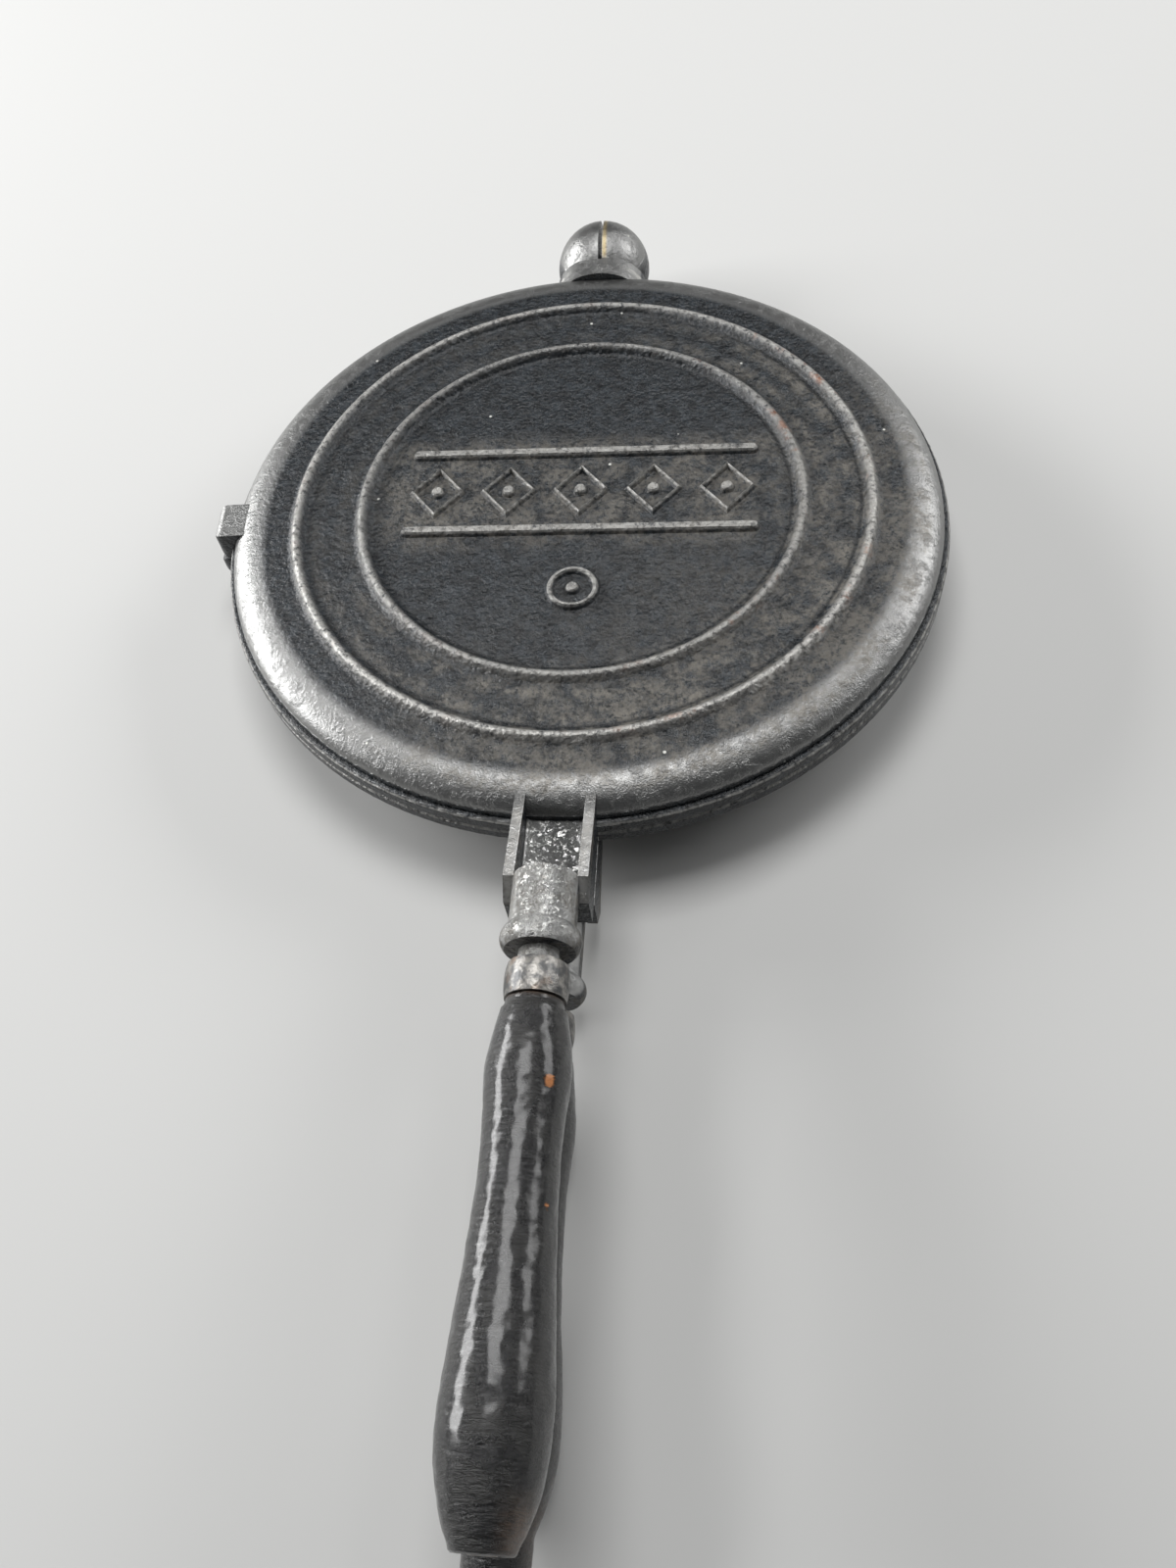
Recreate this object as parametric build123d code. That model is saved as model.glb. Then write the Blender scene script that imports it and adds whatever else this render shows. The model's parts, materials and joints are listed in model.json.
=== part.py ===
from build123d import *
import math
import os

os.makedirs("parts", exist_ok=True)

# Stovetop waffle iron: two cast paddles on a split ball hinge, each with a turned wooden handle
# held on a long tie rod. Millimetres. +X right, +Y towards the hinge, +Z up. The origin is the
# centre of the flat disc under the lower paddle, and the handles point to -Y.

# ---- paddle ----
rim_r = 97.0             # outer edge of the meeting lips
lip_height = 3.9         # lip, up from the parting plane
lip_round = 1.0          # roundness of the lip's outer edge
lip_ledge = 1.6          # how far the lip stands out past the wall
shoulder_step = 0.6      # upright wall between the lip and the shoulder
seam_bevel = 0.7         # bevel that opens the seam between the lips
face_height = 10.3       # flat annulus, up from the parting plane
disc_sink = 0.3          # centre disc below the annulus
shoulder_width = 10.2    # radial width of the rounded shoulder
casting_wall = 3.0       # metal between the face and the pan floor
seal_width = 8.0         # flat meeting face, from the lip's edge to the pan's mouth
pan_draft = 2.6          # how much the pan narrows from mouth to floor

# ---- raised rings on the face ----
inner_ring_r = 58.8
outer_ring_r = 76.5
ring_height = 1.9
ring_half_width = 2.9
ring_foot_pull = 0.62    # how far the flanks stay low, as a share of the half width
ring_crest_pull = 0.55   # how far the crest stays level

# ---- waffle grid ----
tip_clearance = 2.4      # stud tips, up from the parting plane
stud_pitch = 12.5
stud_base = 8.8
stud_tip = 6.4
stud_root = 0.6          # how deep the studs start inside the metal
divider_gap = 2.85       # bare floor beside a divider
stud_edge_gap = 2.0      # between the outermost studs and the pan wall
divider_base = 3.6
divider_tip = 2.2

# ---- raised ornament on the upper disc ----
ornament_y = 3.0
ornament_height = 1.3
ornament_draft = 34.0    # degrees, slope of the raised flanks
bar_length = 96.0
bar_width = 4.4
bar_offset = 14.0
lozenge_count = 5
lozenge_pitch = 19.5
lozenge_width = 17.0
lozenge_height = 20.0
lozenge_line = 3.4
dot_r = 2.5
rosette_y = -31.0
rosette_r = 7.5
rosette_line = 3.2

# ---- side lug ----
lug_angle = 182.4        # degrees from +X
lug_width = 11.5
upper_lug_reach = 3.6    # past the lip's edge
lower_lug_reach = 4.6
upper_lug_height = 8.6   # from the parting plane
lower_lug_height = 5.4
lug_round = 2.5
lug_lift = 0.25          # clear of the parting plane
lug_root = 5.0           # how far the lug starts inside the lip's edge

# ---- ball hinge ----
ball_r = 14.3
ball_y = 108.5
slit = 1.2
hinge_gap = 0.35         # between one casting and the other's half ball
peg_r = 4.2
peg_length = 6.0
peg_end_gap = 1.0
peg_fit = 0.06           # radial clearance of the peg in its socket
hood_half_width = 13.9
hood_height = 11.1
hood_root = 3.0          # hood's front end, behind the pan's mouth
hood_reach = 8.6         # hood's rear end, in front of the ball's centre

# ---- shank between paddle and handle ----
shank_half_width = 9.4
shank_rib = 2.4
shank_lift = 0.6         # underside, up from the parting plane
shank_web = 3.4
shank_root = 6.0         # how far the shank starts inside the lip's edge
shank_root_height = 9.3
shank_rib_height = 14.3  # rib crests beside the neck
upper_rib_run = 14.6     # rib crest ends this far behind the collar
lower_rib_run = 21.0
shank_chamfer = 4.6      # the ribs fall over this length to the shank's end
shank_tail_height = 10.3
shank_fillet = 1.5       # inside corners of the channel

# ---- neck, collar and spigot, on the handle's axis ----
collar_y = 129.6         # collar's centre in front of the paddle's centre
lower_reach = 1.5        # the lower shank is this much longer
upper_collar_height = 12.3   # handle's axis at the collar, from the parting plane
lower_collar_height = 11.0
handle_rise = 1.7        # degrees that the handle's axis climbs away from the parting plane
upper_axis_x = 0.0       # the handle's axis at the collar, to the side of the middle
lower_axis_x = -1.2
upper_askew = 0.3        # degrees that the handle leans towards -X
lower_askew = 0.8
collar_r = 8.9
collar_half = 2.6
collar_foot = 0.3        # step from the neck to the foot of the collar's bead
neck_r = 7.4
neck_overlap = 4.9       # how far the neck starts inside the shank
spigot_r = 4.6
spigot_length = 3.4
rod_socket_depth = 15.0
rod_tip_gap = 0.5        # between the rod's inner end and the socket's floor

# ---- ferrule ----
ferrule_end_r = 6.5
ferrule_mid_r = 6.95
ferrule_length = 7.7
ferrule_wall = 1.2
tenon_gap = 0.1

# ---- wooden handle ----
groove_r = 6.5
groove_length = 2.0
wood_start_r = 7.3
wood_shoulder = 0.5      # length of the cone between the groove and the wood's full start
bump_r = 9.15
rise_lead = 2.0          # the bump's rising side is fullest this far before half way
waist_r = 8.25
bump_run = 8.0           # length of the bump's falling side
waist_fall = 0.25        # still above the waist at the end of it
palm_r = 10.6
swell_lag = 3.0          # the palm swell grows mostly past half way
palm_run = 8.0           # length of the palm's falling side
palm_fall = 0.75
# stations along the axis, from the collar's centre
upper_bump_at = 30.0
upper_waist_at = 46.0
upper_palm_at = 92.0
upper_end_at = 111.8
upper_end_r = 6.2
upper_tail_r = 7.4
upper_tail_length = 2.0
lower_bump_at = 33.0
lower_waist_at = 49.0
lower_palm_at = 92.0
lower_end_at = 119.0
lower_end_r = 6.6
lower_tail_r = 7.1       # parallel tail of the lower handle
lower_tail_length = 11.0
end_round = 1.2
tail_round = 1.5         # length over which the palm swell runs into the tail

# ---- tie rod, washer and nut ----
rod_r = 2.4
rod_fit = 0.06           # radial clearance in the casting and the nut
bore_gap = 0.4           # radial clearance in ferrule and wood
washer_r = 3.9
washer_thickness = 0.9
nut_r = 3.6
nut_height = 3.6
nut_skin = 0.9           # metal over the rod's end
nut_round = 1.1
nut_sink = 0.3           # nut's top below the handle's end face
recess_gap = 0.4         # radial clearance of the washer in its recess
rod_end_gap = 0.05       # between the rod's end and the nut's cap

# ---- derived ----
parting_z = face_height - disc_sink
mouth_r = rim_r - seal_width
floor_r = mouth_r - pan_draft
floor_height = face_height - casting_wall
wall_r = rim_r - lip_ledge
spigot_end = collar_half + spigot_length
ferrule_end = spigot_end + ferrule_length
groove_end = ferrule_end + groove_length
shoulder_at = groove_end + wood_shoulder
tenon_start = spigot_end + ferrule_wall
bore_r = rod_r + bore_gap
cup_r = ferrule_end_r - ferrule_wall
tenon_r = cup_r - tenon_gap
recess_r = washer_r + recess_gap
recess_depth = washer_thickness + nut_height + nut_sink


def ring_edges(radius, foot_in, foot_out):
    """Cross-section of a raised ring: two S-curves that meet at a level crest."""
    crest = foot_out + ring_height
    inner = radius - ring_half_width
    outer = radius + ring_half_width
    low = ring_half_width * ring_foot_pull
    level = ring_half_width * ring_crest_pull
    return [
        Bezier((inner, foot_in), (inner + low, foot_in), (radius - level, crest), (radius, crest)),
        Bezier((radius, crest), (radius + level, crest), (outer - low, foot_out), (outer, foot_out)),
    ]


def paddle_dish():
    """Body of revolution: face with two rings, rounded shoulder, lip and pan."""
    disc = face_height - disc_sink
    face_r = wall_r - shoulder_width
    shoulder_foot = lip_height + shoulder_step
    round_in = lip_round * (1 - math.sqrt(0.5))
    inner_ring = ring_edges(inner_ring_r, disc, face_height)
    outer_ring = ring_edges(outer_ring_r, face_height, face_height)
    shoulder = EllipticalCenterArc((face_r, shoulder_foot), shoulder_width, face_height - shoulder_foot,
                                   start_angle=0, arc_size=90)
    edges = [
        Line((0, disc), inner_ring[0] @ 0),
        *inner_ring,
        Line(inner_ring[1] @ 1, outer_ring[0] @ 0),
        *outer_ring,
        Line(outer_ring[1] @ 1, (face_r, face_height)),
        shoulder,
        Line((wall_r, shoulder_foot), (wall_r, lip_height)),
        Line((wall_r, lip_height), (rim_r - lip_round, lip_height)),
        ThreePointArc((rim_r - lip_round, lip_height),
                      (rim_r - round_in, lip_height - round_in),
                      (rim_r, lip_height - lip_round)),
        Line((rim_r, lip_height - lip_round), (rim_r, seam_bevel)),
        Line((rim_r, seam_bevel), (rim_r - seam_bevel, 0)),
        Line((rim_r - seam_bevel, 0), (mouth_r, 0)),
        Line((mouth_r, 0), (floor_r, floor_height)),
        Line((floor_r, floor_height), (0, floor_height)),
        Line((0, floor_height), (0, disc)),
    ]
    profile = Plane.XZ * make_face(Curve() + edges)
    return revolve(profile, axis=Axis.Z)


def draft_angle(base, tip, height):
    """Taper that narrows a stud from base to tip over its height."""
    return math.degrees(math.atan((base - tip) / 2 / height))


def stud_centres():
    """Centres on one axis, on both sides of the divider, out to the pan wall."""
    first = divider_base / 2 + divider_gap + stud_base / 2
    count = int((floor_r - first) / stud_pitch) + 1
    positive = [first + stud_pitch * i for i in range(count)]
    return [-c for c in reversed(positive)] + positive


def waffle_grid():
    """Square studs in four quarters, and the two crossing dividers between them."""
    height = floor_height + stud_root - tip_clearance
    start = Plane.XY.offset(floor_height + stud_root)
    limit = floor_r - stud_edge_gap
    half = stud_base / 2
    places = [
        (x, y)
        for x in stud_centres()
        for y in stud_centres()
        if math.hypot(abs(x) + half, abs(y) + half) < limit
    ]
    stud = extrude(start * Rectangle(stud_base, stud_base), amount=-height,
                   taper=draft_angle(stud_base, stud_tip, height))
    grid = [Pos(x, y) * stud for x, y in places]
    length = 2 * (floor_r - stud_edge_gap)
    along_x = start * Rectangle(length, divider_base)
    along_y = start * Rectangle(divider_base, length)
    angle = draft_angle(divider_base, divider_tip, height)
    cross = [extrude(bar, amount=-height, taper=angle) for bar in (along_x, along_y)]
    return grid + cross


def side_lug(height, reach):
    """Rounded lug on the lip, with a matching one on the other paddle."""
    depth = lug_root + reach
    block = Box(depth, lug_width, height, align=(Align.MIN, Align.CENTER, Align.MIN))
    block = Pos(rim_r - lug_root, 0, lug_lift) * block
    outer = block.faces().sort_by(Axis.X)[-1]
    block = fillet(outer.edges(), lug_round)
    return Rot(0, 0, lug_angle) * block


def ball_segment(radius, start, side):
    """Part of a ball on the hinge axis, from the plane at start outwards, towards side X."""
    chord = math.sqrt(radius ** 2 - start ** 2)
    middle = (math.atan2(chord, start)) / 2
    edges = [
        Line((start, 0), (start, chord)),
        ThreePointArc((start, chord), (radius * math.cos(middle), radius * math.sin(middle)), (radius, 0)),
        Line((radius, 0), (start, 0)),
    ]
    segment = revolve(make_face(Curve() + edges), axis=Axis.X)
    if side < 0:
        segment = mirror(segment, about=Plane.YZ)
    return Pos(0, ball_y, 0) * segment


def hinge_hood():
    """Arched neck that leaves the rim and runs over the front of the ball."""
    root = mouth_r + hood_root
    arch = Plane(origin=(0, root, 0), x_dir=(1, 0, 0), z_dir=(0, 1, 0))
    outline = arch * Ellipse(hood_half_width, hood_height)
    body = extrude(outline, amount=ball_y - hood_reach - root)
    above = Pos(0, ball_y, seam_bevel / 2) * Box(
        rim_r, rim_r, rim_r, align=(Align.CENTER, Align.CENTER, Align.MIN))
    return body & above


def hinge_peg(side, radius, length):
    """Round peg on the hinge axis, from the slit face of one half towards the other."""
    bar = Cylinder(radius, length, align=(Align.CENTER, Align.CENTER, Align.MIN))
    return Pos(side * slit / 2, ball_y, 0) * Rot(0, -90 * side, 0) * bar


def shank(half):
    """Open channel: a web with two side ribs that climb to the neck."""
    root_y = -(rim_r - shank_root)
    crest_y = -(half["reach"] - half["rib_run"])
    tail_y = crest_y - shank_chamfer
    side = Polyline(
        (root_y, shank_lift), (root_y, shank_root_height), (crest_y, shank_rib_height),
        (tail_y, shank_tail_height), (tail_y, shank_lift), close=True)
    rib_face = Plane.YZ * make_face(side)
    rib = extrude(rib_face, amount=shank_rib)
    web_length = root_y - tail_y
    web = Pos(0, tail_y, shank_lift) * Box(
        2 * shank_half_width, web_length, shank_web, align=(Align.CENTER, Align.MIN, Align.MIN))
    left = Pos(-shank_half_width, 0, 0) * rib
    right = Pos(shank_half_width - shank_rib, 0, 0) * rib
    channel = web + left + right
    floor_z = shank_lift + shank_web
    inner_x = shank_half_width - shank_rib
    corners = [
        e for e in channel.edges().filter_by(Axis.Y)
        if math.isclose(abs(e.center().X), inner_x, abs_tol=0.01)
        and math.isclose(e.center().Z, floor_z, abs_tol=0.01)
    ]
    return fillet(corners, shank_fillet)


def handle_frame(half):
    """Plane at the collar's centre, its normal along the handle towards the free end."""
    rise = math.radians(handle_rise)
    lean = math.radians(half["askew"])
    level = math.cos(rise)
    along = (-level * math.sin(lean), -level * math.cos(lean), math.sin(rise))
    across = (math.cos(lean), -math.sin(lean), 0)
    centre = (half["axis_x"], -half["reach"], half["collar_height"])
    return Plane(origin=centre, x_dir=across, z_dir=along)


def turned(edges, frame):
    """Solid of revolution about the handle's axis, from an outline of radius and station."""
    profile = Plane.XZ * make_face(Curve() + edges)
    return frame.location * revolve(profile, axis=Axis.Z)


def polyline_edges(points):
    """Straight edges through the points, closed on the first."""
    return [Line(a, b) for a, b in zip(points, points[1:] + points[:1])]


def neck_and_collar(frame, half):
    """Round neck, bead collar and the short spigot that the ferrule sits against."""
    foot = neck_r + collar_foot
    neck_start = shank_chamfer - half["rib_run"] - neck_overlap
    edges = [
        Line((0, neck_start), (neck_r, neck_start)),
        Line((neck_r, neck_start), (neck_r, -collar_half)),
        Line((neck_r, -collar_half), (foot, -collar_half)),
        ThreePointArc((foot, -collar_half), (collar_r, 0), (foot, collar_half)),
        Line((foot, collar_half), (spigot_r, collar_half)),
        Line((spigot_r, collar_half), (spigot_r, spigot_end)),
        Line((spigot_r, spigot_end), (0, spigot_end)),
        Line((0, spigot_end), (0, neck_start)),
    ]
    return turned(edges, frame)


def axial_bar(frame, start, end, radius):
    """Round bar on the handle's axis between two stations."""
    bar = Cylinder(radius, end - start, align=(Align.CENTER, Align.CENTER, Align.MIN))
    return frame.location * Pos(0, 0, start) * bar


def lozenge(width, height):
    """Flat lozenge, centred on the origin."""
    return Polygon((-width / 2, 0), (0, -height / 2), (width / 2, 0), (0, height / 2))


def ornament():
    """Row of open lozenges between two bars, and a small ring below it."""
    middle = Circle(dot_r)
    frame = lozenge(lozenge_width, lozenge_height)
    hollow = 1 - 2 * lozenge_line / lozenge_width
    frame = frame - lozenge(lozenge_width * hollow, lozenge_height * hollow)
    bar = SlotOverall(bar_length, bar_width)
    rosette = Circle(rosette_r) - Circle(rosette_r - rosette_line)
    shapes = [
        Pos(0, ornament_y - bar_offset) * bar,
        Pos(0, ornament_y + bar_offset) * bar,
        Pos(0, rosette_y) * rosette,
        Pos(0, rosette_y) * middle,
    ]
    for i in range(lozenge_count):
        place = Pos((i - (lozenge_count - 1) / 2) * lozenge_pitch, ornament_y)
        shapes += [place * frame, place * middle]
    foot = Plane.XY.offset(face_height - disc_sink - stud_root)
    rise = ornament_height + stud_root
    return [extrude(foot * shape, amount=rise, taper=ornament_draft) for shape in shapes]


def paddle(half, decorated):
    """One casting, parting plane at z = 0 and its outside upwards. Its half ball is at side X."""
    side = half["side"]
    frame = handle_frame(half)
    body = paddle_dish() + waffle_grid()
    body = body + side_lug(half["lug_height"], half["lug_reach"])
    body = body + shank(half)
    body = body + neck_and_collar(frame, half)
    body = body - axial_bar(frame, spigot_end - rod_socket_depth, spigot_end, rod_r + rod_fit)
    body = body + hinge_hood()
    body = body - ball_segment(ball_r + hinge_gap, -slit / 2, -side)
    body = body + ball_segment(ball_r, slit / 2, side)
    if decorated:
        body = body + ornament()
    if side > 0:
        return body + hinge_peg(side, peg_r, peg_length + slit)
    return body - hinge_peg(-side, peg_r + peg_fit, peg_length + peg_end_gap + slit)


def ferrule(frame):
    """Barrel-shaped iron cup on the end of the wood."""
    middle = (spigot_end + ferrule_end) / 2
    edges = [
        ThreePointArc((ferrule_end_r, spigot_end), (ferrule_mid_r, middle), (ferrule_end_r, ferrule_end)),
        Line((ferrule_end_r, ferrule_end), (cup_r, ferrule_end)),
        Line((cup_r, ferrule_end), (cup_r, tenon_start)),
        Line((cup_r, tenon_start), (bore_r, tenon_start)),
        Line((bore_r, tenon_start), (bore_r, spigot_end)),
        Line((bore_r, spigot_end), (ferrule_end_r, spigot_end)),
    ]
    return turned(edges, frame)


def wooden_handle(frame, half):
    """Turned handle: tenon, bare groove, bump, waist, palm swell, tail and recessed end."""
    bump_at = half["bump_at"]
    waist_at = half["waist_at"]
    palm_at = half["palm_at"]
    end_at = half["end_at"]
    end_r = half["end_r"]
    tail_at = end_at - half["tail_length"] - tail_round
    tail_r = half["tail_r"]
    recess_floor = end_at - recess_depth
    rise_at = (shoulder_at + bump_at) / 2 - rise_lead
    swell_at = (waist_at + palm_at) / 2 + swell_lag
    outline = Spline(
        (wood_start_r, shoulder_at), ((wood_start_r + bump_r) / 2, rise_at), (bump_r, bump_at),
        (waist_r + waist_fall, bump_at + bump_run), (waist_r, waist_at),
        ((waist_r + palm_r) / 2, swell_at), (palm_r, palm_at),
        (palm_r - palm_fall, tail_at - palm_run), (tail_r, tail_at))
    edges = [
        outline,
        Line((tail_r, tail_at), (end_r, end_at - end_round)),
        Bezier((end_r, end_at - end_round), (end_r, end_at), (end_r - end_round, end_at)),
        Line((end_r - end_round, end_at), (recess_r, end_at)),
        Line((recess_r, end_at), (recess_r, recess_floor)),
        Line((recess_r, recess_floor), (bore_r, recess_floor)),
        Line((bore_r, recess_floor), (bore_r, tenon_start)),
        Line((bore_r, tenon_start), (tenon_r, tenon_start)),
        Line((tenon_r, tenon_start), (tenon_r, ferrule_end)),
        Line((tenon_r, ferrule_end), (groove_r, ferrule_end)),
        Line((groove_r, ferrule_end), (groove_r, groove_end)),
        Line((groove_r, groove_end), (wood_start_r, shoulder_at)),
    ]
    return turned(edges, frame)


def tie_rod(frame, seat_at):
    """Rod from the socket in the casting's neck to the nut at the free end."""
    start = spigot_end - rod_socket_depth + rod_tip_gap
    end = seat_at + washer_thickness + nut_height - nut_skin
    return axial_bar(frame, start, end, rod_r)


def end_washer(frame, seat_at):
    """Flat washer on the floor of the recess in the handle's end."""
    hole = rod_r + rod_fit
    top = seat_at + washer_thickness
    edges = polyline_edges([(hole, seat_at), (washer_r, seat_at), (washer_r, top), (hole, top)])
    return turned(edges, frame)


def end_nut(frame, seat_at):
    """Round cap nut that draws the wood against the ferrule."""
    base = seat_at + washer_thickness
    top = base + nut_height
    hole = rod_r + rod_fit
    hole_end = top - nut_skin + rod_end_gap
    edges = polyline_edges([
        (hole, base), (nut_r, base), (nut_r, top - nut_round), (nut_r - nut_round, top),
        (0, top), (0, hole_end), (hole, hole_end)])
    return turned(edges, frame)


def seat(part, upper):
    """Move a piece from the paddle's own frame to its place in the closed iron."""
    if upper:
        return Pos(0, 0, parting_z) * part
    return Pos(0, 0, parting_z) * mirror(part, about=Plane.XY)


upper_half = dict(
    side=1, lug_height=upper_lug_height, lug_reach=upper_lug_reach, rib_run=upper_rib_run, reach=collar_y,
    collar_height=upper_collar_height, axis_x=upper_axis_x, askew=upper_askew,
    bump_at=upper_bump_at, waist_at=upper_waist_at, palm_at=upper_palm_at, end_at=upper_end_at,
    end_r=upper_end_r, tail_r=upper_tail_r, tail_length=upper_tail_length)
lower_half = dict(
    side=-1, lug_height=lower_lug_height, lug_reach=lower_lug_reach, rib_run=lower_rib_run,
    reach=collar_y + lower_reach,
    collar_height=lower_collar_height, axis_x=lower_axis_x, askew=lower_askew,
    bump_at=lower_bump_at, waist_at=lower_waist_at, palm_at=lower_palm_at, end_at=lower_end_at,
    end_r=lower_end_r, tail_r=lower_tail_r, tail_length=lower_tail_length)

for name, half in (("upper", upper_half), ("lower", lower_half)):
    upper = name == "upper"
    frame = handle_frame(half)
    seat_at = half["end_at"] - recess_depth
    pieces = {
        "paddle": paddle(half, decorated=upper),
        "ferrule": ferrule(frame),
        "handle": wooden_handle(frame, half),
        "tie_rod": tie_rod(frame, seat_at),
        "end_washer": end_washer(frame, seat_at),
        "end_nut": end_nut(frame, seat_at),
    }
    for kind, piece in pieces.items():
        export_step(seat(piece, upper), f"parts/{name}_{kind}.step")
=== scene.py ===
import json
import math

import bpy
from mathutils import Matrix, Vector


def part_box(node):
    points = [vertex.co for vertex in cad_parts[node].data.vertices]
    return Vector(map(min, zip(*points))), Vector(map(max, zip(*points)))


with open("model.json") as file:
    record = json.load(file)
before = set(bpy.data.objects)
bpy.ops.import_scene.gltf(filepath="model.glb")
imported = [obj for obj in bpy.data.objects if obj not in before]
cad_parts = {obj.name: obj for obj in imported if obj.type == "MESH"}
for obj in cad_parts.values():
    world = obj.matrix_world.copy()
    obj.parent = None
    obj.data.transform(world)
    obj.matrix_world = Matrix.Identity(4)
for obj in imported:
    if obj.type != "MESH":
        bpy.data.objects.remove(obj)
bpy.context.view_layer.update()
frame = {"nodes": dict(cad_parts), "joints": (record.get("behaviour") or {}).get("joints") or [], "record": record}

# Stovetop waffle iron, closed. Metres. +X right, +Y towards the ball hinge, +Z up.

# ---- places and sizes of the iron ----
hinge = Vector(frame["joints"][0]["pos_m"])
parting_z = hinge.z
rim_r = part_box("upper_paddle")[1][0]
inner_ring_r = 0.0588
outer_ring_r = 0.0765
ring_half_width = 0.0029
face_z = 0.0103             # outer face, from the parting plane
disc_z = 0.0100             # centre disc, from the parting plane
ball_r = 0.0143
shank_half_width = 0.0094

# ---- places of the finish, from the same zero as the iron ----
shank_start_y = -0.094      # the neck's finish begins here
shank_full_y = -0.098       # and is whole from here
channel_half_width = 0.0066
lip_edge_z = 0.0046         # lip's top, from the parting plane
shoulder_start_z = 0.0058
shoulder_start = 0.0125     # in from the lip's edge
shoulder_full = 0.0085
ornament_y = 0.003
ornament_half_length = 0.048
ornament_half_width = 0.014
slit_crest_x = 0.0013       # worn edge beside the ball's slit
groove_y = -0.1426          # bare groove between ferrule and wood
tail_wear_y = -0.230

# ---- handles ----
wood_voxel = 0.0006
wood_dents = (("broad_dents", 0.009, 0.00045), ("small_dents", 0.0024, 0.00022))  # name, size, depth
wood_chips = (((0.0056, -0.1623, 0.0305), 0.0016), ((0.0067, -0.1854, 0.0290), 0.0009),
              ((0.0075, -0.1880, 0.0283), 0.0006))   # place and size of each bare spot

# ---- camera ----
focal_pixels = 1287.7       # for a frame of 1200 x 1600 pixels
frame_height = 1600
sensor = 36.0
camera_at = Vector((0.03884, -0.23903, 0.26596))
camera_aim = Vector((0.00487, -0.07688, 0.0))
camera_roll = math.radians(-9.913)


# ---------------------------------------------------------------- shaders

class Shader:
    """One node material, with short calls for the nodes that it needs."""

    def __init__(self, name):
        self.material = bpy.data.materials.new(name)
        self.material.use_nodes = True
        self.tree = self.material.node_tree
        self.surface = self.tree.nodes["Principled BSDF"]
        ways = self.node("ShaderNodeTexCoord").outputs
        self.place = ways["Object"]
        facing = self.node("ShaderNodeSeparateXYZ", {"Vector": ways["Normal"]}).outputs
        self.level = self.maths("ABSOLUTE", facing["Z"])

    def node(self, kind, inputs=None, **settings):
        """New node, its settings and its inputs, which are values or sockets."""
        made = self.tree.nodes.new(kind)
        for key, value in settings.items():
            setattr(made, key, value)
        for key, value in (inputs or {}).items():
            self.feed(made.inputs[key], value)
        return made

    def feed(self, socket, value):
        """Link a socket into another, or set a value on it."""
        if isinstance(value, bpy.types.NodeSocket):
            self.tree.links.new(value, socket)
        else:
            socket.default_value = value

    def set(self, **inputs):
        """Inputs of the surface, by name with underscores for spaces."""
        for key, value in inputs.items():
            self.feed(self.surface.inputs[key.replace("_", " ")], value)

    def scaled(self, x=1.0, y=1.0, z=1.0):
        """Place, stretched along each axis."""
        stretch = self.node("ShaderNodeVectorMath", operation="MULTIPLY")
        self.feed(stretch.inputs[0], self.place)
        stretch.inputs[1].default_value = (x, y, z)
        return stretch.outputs[0]

    def noise(self, size, detail=2.0, rough=0.5, twist=0.0, at=None):
        """Soft noise from 0 to 1, with features about as large as size."""
        made = self.node("ShaderNodeTexNoise", {
            "Vector": at or self.place, "Scale": 1 / size, "Detail": detail,
            "Roughness": rough, "Distortion": twist})
        return made.outputs[0]

    def cells(self, size, feature="F1", at=None):
        """Distances and random colours of scattered cells."""
        return self.node("ShaderNodeTexVoronoi", {
            "Vector": at or self.place, "Scale": 1 / size, "Randomness": 1.0}, feature=feature)

    def maths(self, operation, a, b=0.0):
        """Result of one operation on two numbers."""
        made = self.node("ShaderNodeMath", operation=operation)
        self.feed(made.inputs[0], a)
        self.feed(made.inputs[1], b)
        return made.outputs[0]

    def times(self, *values):
        """Product of numbers."""
        total = values[0]
        for value in values[1:]:
            total = self.maths("MULTIPLY", total, value)
        return total

    def ramp(self, value, low, high, start=0.0, end=1.0):
        """Smooth step from start at low to end at high."""
        return self.node("ShaderNodeMapRange", {
            "Value": value, "From Min": low, "From Max": high, "To Min": start, "To Max": end},
            interpolation_type="SMOOTHSTEP").outputs[0]

    def bell(self, value, middle, half_width):
        """1 at the middle, and 0 from half_width away."""
        away = self.maths("ABSOLUTE", self.maths("SUBTRACT", value, middle))
        return self.ramp(away, half_width, 0.0)

    def tint(self, amount, base, over):
        """Colour that goes from base to over."""
        made = self.node("ShaderNodeMix", data_type="RGBA")
        self.feed(made.inputs[0], amount)
        self.feed(made.inputs[6], base)
        self.feed(made.inputs[7], over)
        return made.outputs[2]

    def blend(self, amount, base, over):
        """Number that goes from base to over."""
        made = self.node("ShaderNodeMix", data_type="FLOAT")
        self.feed(made.inputs[0], amount)
        self.feed(made.inputs[2], base)
        self.feed(made.inputs[3], over)
        return made.outputs[0]

    def axes(self):
        """X, Y and Z of the place."""
        return self.node("ShaderNodeSeparateXYZ", {"Vector": self.place}).outputs

    def distance(self, point):
        """Distance of the place from a point."""
        made = self.node("ShaderNodeVectorMath", operation="DISTANCE")
        self.feed(made.inputs[0], self.place)
        made.inputs[1].default_value = point
        return made.outputs["Value"]

    def relief(self, height, depth, under=None):
        """Bump of a height from 0 to 1, over a real depth."""
        made = self.node("ShaderNodeBump", {"Height": height, "Distance": depth, "Strength": 1.0})
        if under is not None:
            self.feed(made.inputs["Normal"], under)
        return made.outputs[0]


def rgb(red, green, blue):
    """Colour with full opacity."""
    return (red, green, blue, 1.0)


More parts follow.
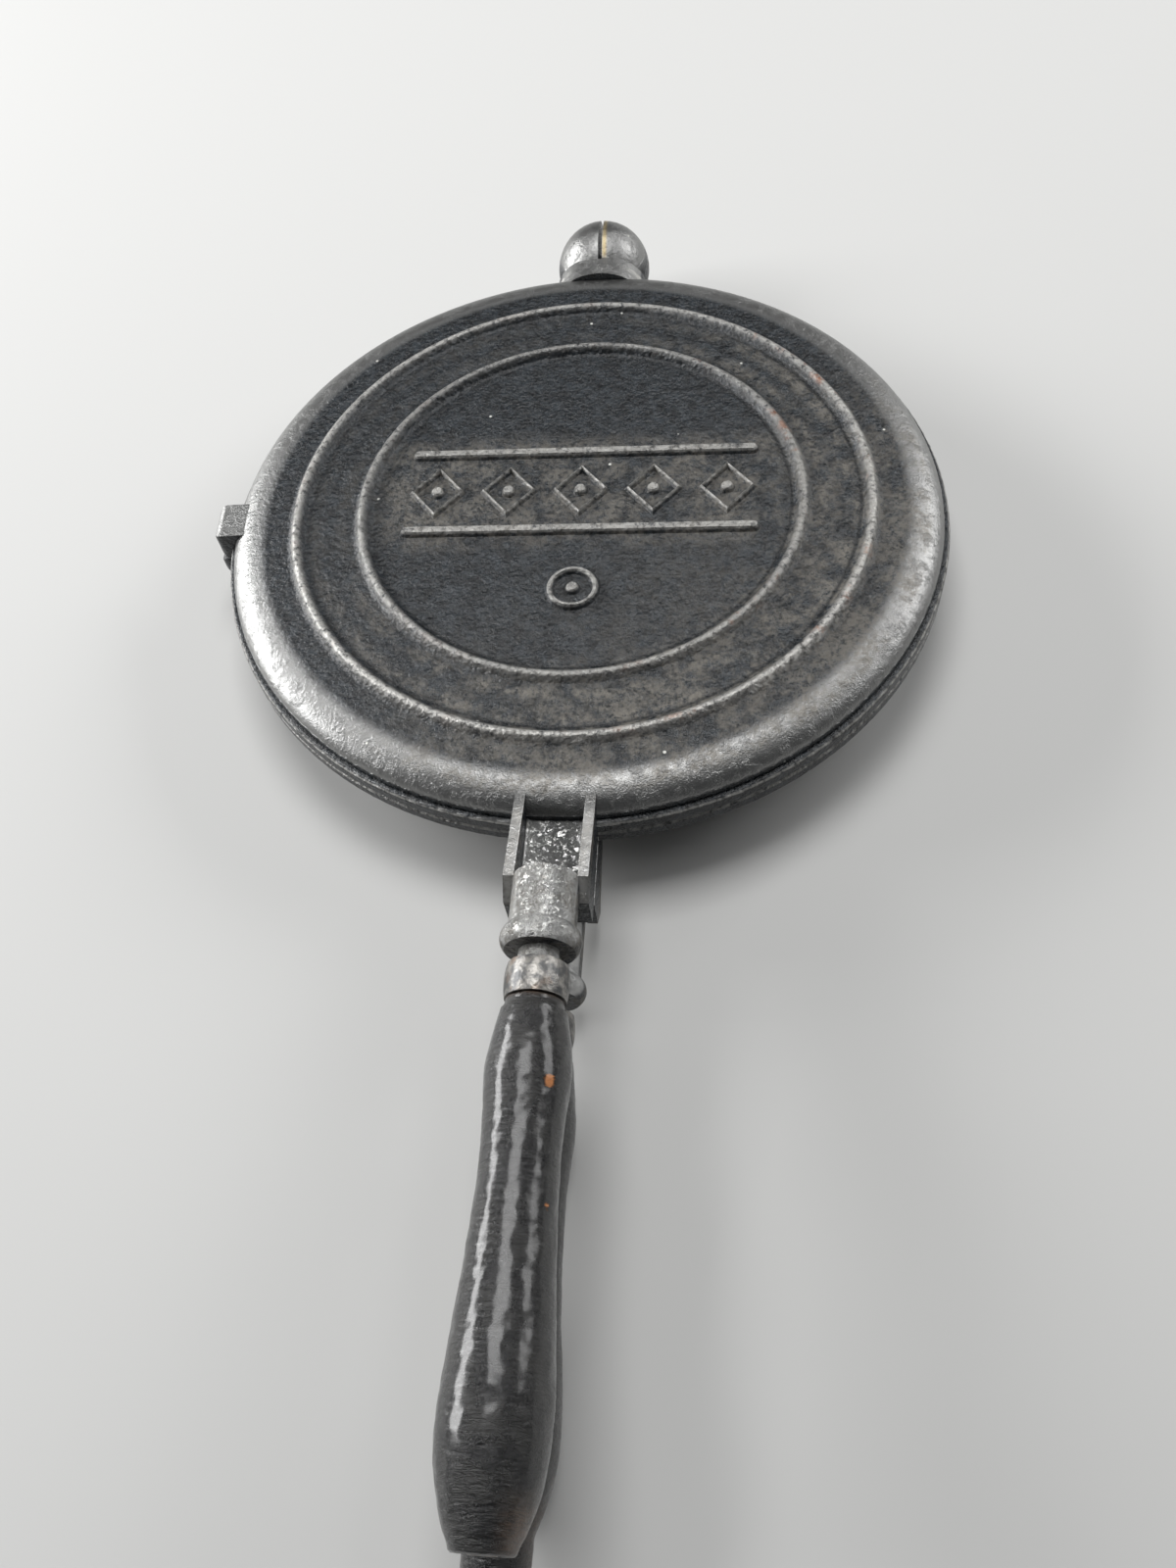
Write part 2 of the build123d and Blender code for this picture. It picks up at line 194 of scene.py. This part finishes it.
black_iron = rgb(0.003, 0.004, 0.005)
grey_iron = rgb(0.031, 0.037, 0.043)
satin_iron = rgb(0.27, 0.27, 0.265)
bright_iron = rgb(0.46, 0.46, 0.455)
channel_iron = rgb(0.62, 0.62, 0.60)
# colour of rubbed iron, also used as a painted highlight on ring crests and lip edges
worn_and_highlit_iron = rgb(0.50, 0.49, 0.465)
brassy = rgb(0.42, 0.34, 0.20)
film = rgb(0.165, 0.152, 0.130)
rust = rgb(0.24, 0.085, 0.032)
pale_speck = rgb(0.62, 0.62, 0.58)
black_paint = rgb(0.003, 0.003, 0.0035)
dull_paint = rgb(0.014, 0.0135, 0.0125)
brown_wood = rgb(0.11, 0.060, 0.028)
bare_wood = rgb(0.45, 0.17, 0.05)


def radius_from_axis(shader):
    """Distance of the place from the paddle's axis."""
    x, y, _ = shader.axes()
    return shader.maths("SQRT", shader.maths("ADD", shader.times(x, x), shader.times(y, y)))


def outer_side(shader):
    """1 on the paddles' outer faces, 0 in the mould and on the lips."""
    z = shader.axes()[2]
    away = shader.maths("ABSOLUTE", shader.maths("SUBTRACT", z, parting_z))
    return shader.ramp(away, face_z - 0.0018, face_z - 0.0008)


def film_places(s, radius):
    """Where the beige film settles: round the ornament, beside the rings, in front and on the right."""
    x, y, z = s.axes()
    beside_rings = s.maths("MAXIMUM", s.bell(radius, inner_ring_r + 0.0052, 0.0040),
                           s.bell(radius, outer_ring_r - 0.0050, 0.0040))
    beside_rings = s.times(beside_rings, s.ramp(s.maths("SUBTRACT", x, y), -0.07, 0.05, 0.20, 1.0))
    across = s.ramp(s.maths("ABSOLUTE", x), ornament_half_length + 0.012, ornament_half_length)
    along = s.ramp(s.maths("ABSOLUTE", s.maths("SUBTRACT", y, ornament_y)),
                   ornament_half_width + 0.010, ornament_half_width)
    ornament = s.times(across, along, s.ramp(z, parting_z, parting_z + 0.005), 0.7)
    right = s.times(s.ramp(s.maths("SUBTRACT", x, y), 0.00, 0.08, 0.0, 0.75),
                    s.ramp(radius, inner_ring_r - 0.008, inner_ring_r + 0.002, 0.35, 1.0))
    return s.maths("MAXIMUM", s.maths("MAXIMUM", beside_rings, ornament), right)


def worn_and_highlit_places(s, radius, outer):
    """Ring crests, raised ornament, lip edges and rib crests: ornament and rib crests rubbed bright, ring crests
    rubbed bright with a painted reflection, lip edges with a painted highlight.
    """
    x, y, z = s.axes()
    side = s.maths("ABSOLUTE", x)
    # ring crests: real wear plus a painted reflection of the lights
    rings = s.maths("MAXIMUM", s.times(s.bell(radius, inner_ring_r + 0.0003, ring_half_width * 0.72), 0.7),
                    s.bell(radius, outer_ring_r + 0.0003, ring_half_width * 0.72))
    rings = s.times(rings, outer)
    raised = s.times(s.ramp(z, parting_z + disc_z + 0.0005, parting_z + disc_z + 0.0011),
                     s.ramp(radius, inner_ring_r - ring_half_width, inner_ring_r - ring_half_width - 0.001))
    # painted highlight: a thin bright line along the lip edges, where the surface turns part way up
    edge = s.times(s.ramp(radius, rim_r - 0.0014, rim_r - 0.0006), s.ramp(radius, rim_r + 0.0012, rim_r + 0.0006),
                   s.bell(s.level, 0.6, 0.38))
    ribs = s.times(s.bell(side, shank_half_width - 0.0012, 0.0017), s.ramp(y, shank_start_y, shank_full_y),
                   s.ramp(s.level, 0.5, 0.8))
    return s.maths("MAXIMUM", s.maths("MAXIMUM", rings, s.times(raised, 0.75)),
                   s.maths("MAXIMUM", s.times(edge, 0.9), s.times(ribs, 0.8))), rings


def cast_iron():
    """Seasoned cast iron: granular, mottled, rubbed bright on the crests, with film, rust and specks; painted
    highlight on ring crests and lip edges, painted shade at the ring feet.
    """
    s = Shader("cast_iron")
    radius = radius_from_axis(s)
    outer = outer_side(s)
    x, y, z = s.axes()
    side = s.maths("ABSOLUTE", x)

    mottle = s.noise(0.0030, detail=5, rough=0.68)
    grain = s.noise(0.0008, detail=3, rough=0.75)
    tone = s.ramp(s.maths("ADD", s.times(mottle, 0.55), s.times(grain, 0.45)), 0.40, 0.64)
    colour = s.tint(tone, black_iron, grey_iron)

    near_ball = s.ramp(s.distance(hinge), ball_r + 0.0020, ball_r + 0.0010)
    off_parting = s.maths("ABSOLUTE", s.maths("SUBTRACT", z, parting_z))
    shoulder = s.times(s.ramp(radius, rim_r - shoulder_start, rim_r - shoulder_full),
                       s.ramp(off_parting, lip_edge_z, shoulder_start_z))
    neck = s.ramp(y, shank_start_y, shank_full_y)
    satin = s.maths("MAXIMUM", s.maths("MAXIMUM", shoulder, s.times(near_ball, 0.6)), neck)
    satin = s.times(satin, s.ramp(s.level, 0.20, 0.42), s.ramp(mottle, 0.34, 0.52, 0.75, 1.0))
    colour = s.tint(satin, colour, s.tint(neck, satin_iron, bright_iron))

    channel = s.times(s.ramp(side, channel_half_width + 0.0008, channel_half_width),
                      s.ramp(y, shank_start_y + 0.001, shank_full_y), s.ramp(s.level, 0.55, 0.85))
    pitting = s.ramp(s.noise(0.0016, detail=5, rough=0.75), 0.38, 0.60)
    colour = s.tint(s.times(channel, pitting, 0.8), colour, channel_iron)

    patches = s.ramp(s.noise(0.009, detail=8, rough=0.75, twist=0.2), 0.40, 0.58)
    flecks = s.ramp(s.noise(0.0014, detail=4, rough=0.75), 0.34, 0.58)
    film_amount = s.times(patches, film_places(s, radius), outer, flecks, 0.9)
    colour = s.tint(film_amount, colour, film)

    # lighter crests: wear on ornament and ribs, wear plus painted reflection on ring crests, painted highlight on
    # lip edges
    worn_and_highlit, rings = worn_and_highlit_places(s, radius, outer)
    ragged = s.ramp(s.noise(0.0017, detail=5, rough=0.75), 0.32, 0.55)
    worn_and_highlit = s.times(worn_and_highlit, ragged)
    colour = s.tint(s.times(worn_and_highlit, 0.85), colour, worn_and_highlit_iron)

    # painted shade: a black line at the inner foot of each ring, on the front and right, where the foot falls in
    # shadow
    painted_foot_shade = s.maths("MAXIMUM", s.bell(radius, inner_ring_r - ring_half_width, 0.0008),
                   s.bell(radius, outer_ring_r - ring_half_width, 0.0008))
    painted_foot_shade = s.times(painted_foot_shade, outer, s.ramp(s.maths("SUBTRACT", x, y), -0.04, 0.02))
    colour = s.tint(s.times(painted_foot_shade, 0.85), colour, black_iron)

    rust_places = s.ramp(s.noise(0.010, detail=5, rough=0.7), 0.54, 0.66)
    rust_amount = s.times(rust_places, rings, s.ramp(x, 0.0, 0.05, 0.1, 0.9))
    colour = s.tint(rust_amount, colour, rust)

    slit_edge = s.times(s.bell(x, slit_crest_x, 0.0011), s.ramp(z, parting_z + 0.0095, parting_z + 0.0120),
                        s.ramp(y, hinge.y - 0.010, hinge.y - 0.008))
    colour = s.tint(slit_edge, colour, brassy)

    spots = s.cells(0.009)
    lot = s.node("ShaderNodeSeparateColor", {"Color": spots.outputs["Color"]}).outputs[0]
    chosen = s.ramp(lot, 0.66, 0.70)
    speck = s.times(s.ramp(spots.outputs["Distance"], 0.055, 0.035), chosen)
    colour = s.tint(speck, colour, pale_speck)

    gloss = s.blend(tone, 0.29, 0.20)
    gloss = s.blend(satin, gloss, 0.38)
    gloss = s.blend(film_amount, gloss, 0.55)
    gloss = s.blend(worn_and_highlit, gloss, 0.34)
    metal = s.maths("MAXIMUM", s.blend(worn_and_highlit, satin, 0.6), slit_edge)

    calm = s.blend(satin, 1.0, 0.28)
    lumps = s.noise(0.0024, detail=3, rough=0.6)
    pebbles = s.ramp(s.cells(0.0014).outputs["Distance"], 0.1, 0.8)
    bump = s.relief(s.times(lumps, calm), 0.00036)
    bump = s.relief(s.times(pebbles, s.maths("SUBTRACT", 1.0, satin)), 0.00011, bump)
    bump = s.relief(s.times(grain, calm), 0.00028, bump)
    bump = s.relief(s.times(channel, pitting), 0.00030, bump)
    bump = s.relief(s.noise(0.00035, detail=2), 0.00008, bump)
    s.set(Base_Color=colour, Roughness=gloss, Metallic=metal, Normal=bump, IOR=1.45)
    return s.material


def ferrule_iron():
    """Handled iron: browner and smoother than the castings."""
    s = Shader("ferrule_iron")
    tone = s.ramp(s.noise(0.0028, detail=5, rough=0.6), 0.38, 0.66)
    colour = s.tint(tone, rgb(0.05, 0.051, 0.052), rgb(0.30, 0.285, 0.26))
    stains = s.ramp(s.noise(0.006, detail=4, rough=0.6), 0.55, 0.68)
    colour = s.tint(s.times(stains, 0.5), colour, rgb(0.16, 0.09, 0.045))
    bump = s.relief(s.noise(0.0016, detail=4, rough=0.65), 0.00026)
    s.set(Base_Color=colour, Roughness=s.blend(tone, 0.42, 0.32), Metallic=0.6, Normal=bump, IOR=2.2)
    return s.material


def ebonised_wood():
    """Glossy black paint on wood, wrinkled across the grain, rubbed dull and chipped in places."""
    s = Shader("ebonised_wood")
    x, y, _ = s.axes()
    across_grain = s.scaled(x=0.4, y=1.7, z=0.4)
    wrinkles = s.noise(0.0014, detail=5, rough=0.7, twist=0.6, at=across_grain)
    cracks = s.ramp(s.cells(0.0042, feature="DISTANCE_TO_EDGE", at=across_grain).outputs["Distance"], 0.02, 0.07)
    dull = s.ramp(s.noise(0.007, detail=6, rough=0.72, twist=0.5), 0.42, 0.60)
    colour = s.tint(dull, black_paint, dull_paint)

    tail_wear = s.times(s.ramp(x, 0.001, 0.007), s.ramp(y, tail_wear_y, tail_wear_y - 0.008), 0.8)
    brown = s.maths("MAXIMUM", s.ramp(s.noise(0.012, detail=5, rough=0.65), 0.66, 0.76), tail_wear)
    brown = s.maths("MAXIMUM", brown, s.ramp(y, groove_y - 0.002, groove_y))
    colour = s.tint(s.times(brown, s.ramp(wrinkles, 0.36, 0.60, 0.3, 0.9)), colour, brown_wood)

    bare = None
    for place, size in wood_chips:
        reach = s.maths("ADD", s.distance(place), s.times(s.maths("SUBTRACT", wrinkles, 0.5), 0.0022))
        chip = s.ramp(reach, size, size * 0.72)
        bare = chip if bare is None else s.maths("MAXIMUM", bare, chip)
    colour = s.tint(bare, colour, bare_wood)

    gloss = s.blend(dull, 0.20, 0.38)
    gloss = s.blend(s.maths("MAXIMUM", bare, s.times(brown, 0.6)), gloss, 0.62)
    bump = s.relief(wrinkles, 0.00060)
    bump = s.relief(cracks, 0.00004, bump)
    bump = s.relief(s.maths("SUBTRACT", 1.0, bare), 0.00030, bump)
    bump = s.relief(s.noise(0.0005, detail=2), 0.00006, bump)
    s.set(Base_Color=colour, Roughness=gloss, Normal=bump, IOR=1.5, Coat_Weight=0.6, Coat_Roughness=0.18)
    return s.material


def rod_steel():
    """Plain steel with a little rust."""
    s = Shader("rod_steel")
    stain = s.ramp(s.noise(0.002, detail=5, rough=0.65), 0.45, 0.62)
    colour = s.tint(stain, rgb(0.30, 0.29, 0.28), rgb(0.13, 0.075, 0.045))
    bump = s.relief(s.noise(0.0006, detail=3), 0.00006)
    s.set(Base_Color=colour, Roughness=s.blend(stain, 0.34, 0.6), Metallic=s.blend(stain, 1.0, 0.3), Normal=bump)
    return s.material


def dress_nodes():
    """Give each node the material of its slot."""
    made = {"cast_iron": cast_iron(), "ferrule_iron": ferrule_iron(), "ebonised_wood": ebonised_wood(),
            "rod_steel": rod_steel()}
    for part in frame["record"]["subparts"]:
        node = frame["nodes"][part["node"]]
        for place in node.material_slots:
            place.material = made[part["material_slot"]]


def dent_handles():
    """Uneven wood: the handles' surfaces sink a little, never rise."""
    for name in ("upper_handle", "lower_handle"):
        handle = frame["nodes"][name]
        even = handle.modifiers.new("even_faces", "REMESH")
        even.mode = "VOXEL"
        even.voxel_size = wood_voxel
        even.use_smooth_shade = True
        for label, size, depth in wood_dents:
            cloud = bpy.data.textures.new(name + "_" + label, "CLOUDS")
            cloud.noise_scale = size
            cloud.noise_depth = 2
            dents = handle.modifiers.new(label, "DISPLACE")
            dents.texture = cloud
            dents.texture_coords = "LOCAL"
            dents.mid_level = 1.0
            dents.strength = depth


# ---------------------------------------------------------------- floor, light and camera

def floor():
    """Pale floor that touches the lower handle's palm and the hinge ball."""
    palm = Vector(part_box("lower_handle")[0])
    palm_y = (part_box("lower_handle")[0][1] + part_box("lower_handle")[1][1]) / 2 - 0.028
    ball_z = parting_z - ball_r
    slope = math.atan2(ball_z - palm.z, hinge.y - palm_y)
    mesh = bpy.data.meshes.new("floor")
    half = 4.0
    corners = [(-half, -half, 0), (half, -half, 0), (half, half, 0), (-half, half, 0)]
    mesh.from_pydata(corners, [], [(0, 1, 2, 3)])
    plane = bpy.data.objects.new("floor", mesh)
    bpy.context.collection.objects.link(plane)
    plane.matrix_world = Matrix.Translation((0, hinge.y, ball_z - 0.0004)) @ Matrix.Rotation(slope, 4, "X")
    paint = Shader("floor_paint")
    paint.set(Base_Color=rgb(0.57, 0.57, 0.56), Roughness=0.85)
    plane.data.materials.append(paint.material)


def softbox(name, place, aim, size, watts):
    """Rectangular soft light at a place, turned to its aim."""
    lamp = bpy.data.lights.new(name, "AREA")
    lamp.shape = "RECTANGLE"
    lamp.size, lamp.size_y = size
    lamp.energy = watts
    made = bpy.data.objects.new(name, lamp)
    bpy.context.collection.objects.link(made)
    place = Vector(place)
    turn = (Vector(aim) - place).to_track_quat("-Z", "Y").to_matrix().to_4x4()
    made.matrix_world = Matrix.Translation(place) @ turn


def studio():
    """Two low soft lights behind the iron, one overhead, and a plain dim world."""
    aim = (0, -0.05, 0)
    softbox("left_light", (-1.26, 0.31, 0.48), aim, (1.05, 0.42), 24)
    softbox("right_light", (1.05, 0.65, 0.70), aim, (1.0, 0.5), 10)
    softbox("top_light", (-0.05, 0.27, 1.10), (0, 0.05, 0), (0.6, 0.52), 8.5)
    world = bpy.data.worlds.new("studio")
    world.use_nodes = True
    world.node_tree.nodes["Background"].inputs["Color"].default_value = rgb(0.95, 0.97, 1.0)
    world.node_tree.nodes["Background"].inputs["Strength"].default_value = 0.1
    bpy.context.scene.world = world
    bpy.context.scene.view_settings.view_transform = "Standard"


def camera():
    """Camera at the photograph's place, with its roll and its angle of view."""
    lens = bpy.data.cameras.new("camera")
    lens.sensor_fit = "VERTICAL"
    lens.sensor_height = sensor
    lens.lens = sensor * focal_pixels / frame_height
    lens.clip_start = 0.01
    made = bpy.data.objects.new("camera", lens)
    bpy.context.collection.objects.link(made)
    look = (camera_aim - camera_at).to_track_quat("-Z", "Y").to_matrix().to_4x4()
    made.matrix_world = Matrix.Translation(camera_at) @ look @ Matrix.Rotation(camera_roll, 4, "Z")
    bpy.context.scene.camera = made


dress_nodes()
dent_handles()
floor()
studio()
camera()
